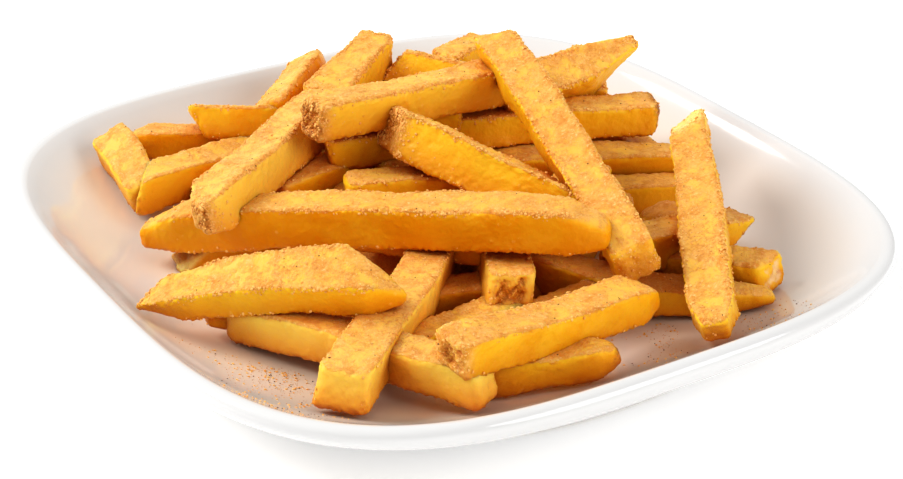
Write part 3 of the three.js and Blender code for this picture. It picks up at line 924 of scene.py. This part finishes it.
def crumbPlaces(layer, count, draw):
    mesh = layer.data
    points = readPoints(mesh)
    normals = np.empty(len(points) * 3)
    mesh.vertex_normals.foreach_get("vector", normals)
    normals = normals.reshape(-1, 3)
    weight = readValues(mesh, "edge") ** 2 + 0.8 * np.clip(readValues(mesh, "crumbly"), 0, 1)
    weight = weight * np.clip(normals[:, 2] + 0.6, 0, 1)
    found = []
    while len(found) < count:
        index = draw.randrange(len(points))
        clump = 0.5 + noise.noise(Vector(points[index]) / 0.006)
        if draw.random() * 1.6 > weight[index] * clump:
            continue
        size = draw.uniform(0, 1) ** 2.2
        size = (crustCrumbs["size"][0] * (1 - size) + crustCrumbs["size"][1] * size) * mm
        normal = Vector(normals[index])
        place = Vector(points[index]) + normal * size * crustCrumbs["raise"]
        found.append((place, normal, size, draw.random()))
    return found


def scatterCrumbs():
    draw = random.Random(crustCrumbs["seed"])
    material = grainMaterial("crustCrumb", crustCrumbs["pale"], crustCrumbs["dark"])
    for kind, count in crustCrumbs["perLayer"].items():
        places = []
        for layer in layers:
            if layer.name.startswith(kind):
                places += crumbPlaces(layer, count, draw)
        grainPiece(kind.replace("Fries", "Crumbs"), places, material)


# loose seasoning and crumbs, copied to where they fall

looseGrains = {
    "darkSpice": dict(fall=1100, plate=120, size=(0.14, 0.36),
                      colours=((112, 62, 24), (66, 34, 14)), seed=4),
    "orangeSpice": dict(fall=1600, plate=1300, size=(0.1, 0.24),
                        colours=((236, 172, 100), (186, 118, 62)), seed=9),
    "goldenCrumbs": dict(fall=2600, plate=500, size=(0.22, 0.6),
                         colours=((255, 214, 132), (238, 168, 84)), seed=16),
}

# where they gather on the plate: middle and spread in millimetres, share of the fall
platePatches = [
    ((-70, -40), 6, 0.22),
    ((-71, -22), 7, 0.08),
    ((15, -74), 7, 0.1),
    ((25, -62), 6, 0.08),
    ((39, -78), 6, 0.05),
    ((-72, -52), 8, 0.05),
]

fallRules = {
    "reach": 92,  # half side of the square that they fall on
    "height": 0.08,  # metres
    "steepest": 0.5,  # least upward part of a normal that holds a grain
    "patchReach": 2.2,  # in spreads of the patch
    "raise": 0.2,  # how far a grain's middle stands off, as a share of its size
}


def fallFrom(draw, count, onPlate):
    # falling points over the whole plate, then more over each patch
    reach = fallRules["reach"]
    spots = [(draw.uniform(-reach, reach), draw.uniform(-reach, reach)) for _ in range(count)]
    for (x, y), spread, share in platePatches:
        spots += [(draw.gauss(x, spread), draw.gauss(y, spread)) for _ in range(int(onPlate * share))]
    return spots


def scatterGrains(name, kind, targets):
    draw = random.Random(kind["seed"])
    places = []
    for x, y in fallFrom(draw, kind["fall"], kind["plate"]):
        best = None
        for tree, onFries in targets:
            above = Vector((x * mm, y * mm, fallRules["height"]))
            place, normal, _, _ = tree.ray_cast(above, Vector((0, 0, -1)))
            if place and (best is None or place.z > best[0].z):
                best = (place, normal, onFries)
        if best is None or best[1].z < fallRules["steepest"]:
            continue
        place, normal, onFries = best
        near = any(math.hypot(x - px, y - py) < fallRules["patchReach"] * spread
                   for (px, py), spread, _ in platePatches)
        if not onFries and not near:
            continue
        drift = noise.noise(Vector((x, y, kind["seed"] * 10)) / 9) + noise.noise(Vector((x, y, 3)) / 30)
        if onFries and drift < draw.uniform(-0.5, 0.6):
            continue
        size = draw.uniform(*kind["size"]) * mm
        places.append((place + normal * size * fallRules["raise"], normal, size, draw.random()))
    grainPiece(name, places, grainMaterial(name + "Skin", *kind["colours"]))


def grainMaterial(name, colour, darker):
    material, tree, shader, place = newMaterial(name)
    shade = addNode(tree, "ShaderNodeAttribute", attribute_name="shade").outputs["Fac"]
    mottled = combine(tree, "MULTIPLY_ADD", grain(tree, place, 0.0003, 2), 0.4)
    tree.links.new(combine(tree, "MULTIPLY", shade, 0.8), mottled.node.inputs[2])
    tree.links.new(blendColours(tree, mottled, paint(*colour), paint(*darker)), shader.inputs["Base Color"])
    shader.inputs["Roughness"].default_value = 0.6
    shader.inputs["Specular IOR Level"].default_value = 0.3
    return material


scatterCrumbs()
depsgraph = bpy.context.evaluated_depsgraph_get()
fallTargets = [(BVHTree.FromObject(layer, depsgraph), True) for layer in layers]
fallTargets.append((BVHTree.FromObject(plate, depsgraph), False))
for name, kind in looseGrains.items():
    scatterGrains(name, kind, fallTargets)


# floor and light

studio = {
    "sky": 0.51,
    "key": (135, 38),  # degrees: round from +X, and above the horizon
    "keyPower": 15.5,
    "keySize": 0.8,
    "keyDistance": 1.4,
    "fill": (-62, 30),  # from the front and right
    "fillPower": 10.5,
    "fillSize": 1.1,
    "fillDistance": 1.7,
    "floorSize": 8,
    "floorGrey": 0.86,
    "floorGlow": 0.22,  # keeps the paper pale in the shade
}


def lightFrom(azimuth, elevation, distance, size, power, name):
    a, e = math.radians(azimuth), math.radians(elevation)
    place = Vector((math.cos(a) * math.cos(e), math.sin(a) * math.cos(e), math.sin(e))) * distance
    bpy.ops.object.light_add(type="AREA", location=place, rotation=place.to_track_quat("Z", "Y").to_euler())
    light = bpy.context.object
    light.name = name
    light.data.shape = "DISK"
    light.data.size = size
    light.data.energy = power


def addStudio():
    bpy.ops.mesh.primitive_plane_add(size=studio["floorSize"], location=(0, 0, 0))
    floor = bpy.context.object
    floor.name = "floor"
    material = bpy.data.materials.new("palePaper")
    material.use_nodes = True
    shader = material.node_tree.nodes["Principled BSDF"]
    shader.inputs["Base Color"].default_value = (studio["floorGrey"],) * 3 + (1,)
    shader.inputs["Roughness"].default_value = 0.9
    shader.inputs["Specular IOR Level"].default_value = 0.1
    shader.inputs["Emission Color"].default_value = (1, 1, 1, 1)
    shader.inputs["Emission Strength"].default_value = studio["floorGlow"]
    floor.data.materials.append(material)

    world = bpy.data.worlds.new("softBox")
    bpy.context.scene.world = world
    world.use_nodes = True
    background = world.node_tree.nodes["Background"]
    background.inputs["Color"].default_value = (1, 1, 1, 1)
    background.inputs["Strength"].default_value = studio["sky"]
    for lamp in ("key", "fill"):
        azimuth, elevation = studio[lamp]
        lightFrom(azimuth, elevation, studio[lamp + "Distance"], studio[lamp + "Size"],
                  studio[lamp + "Power"], lamp + "Light")
    bpy.context.scene.view_settings.view_transform = "Standard"
    bpy.context.scene.view_settings.look = "Medium High Contrast"


addStudio()
print("floor and light set")
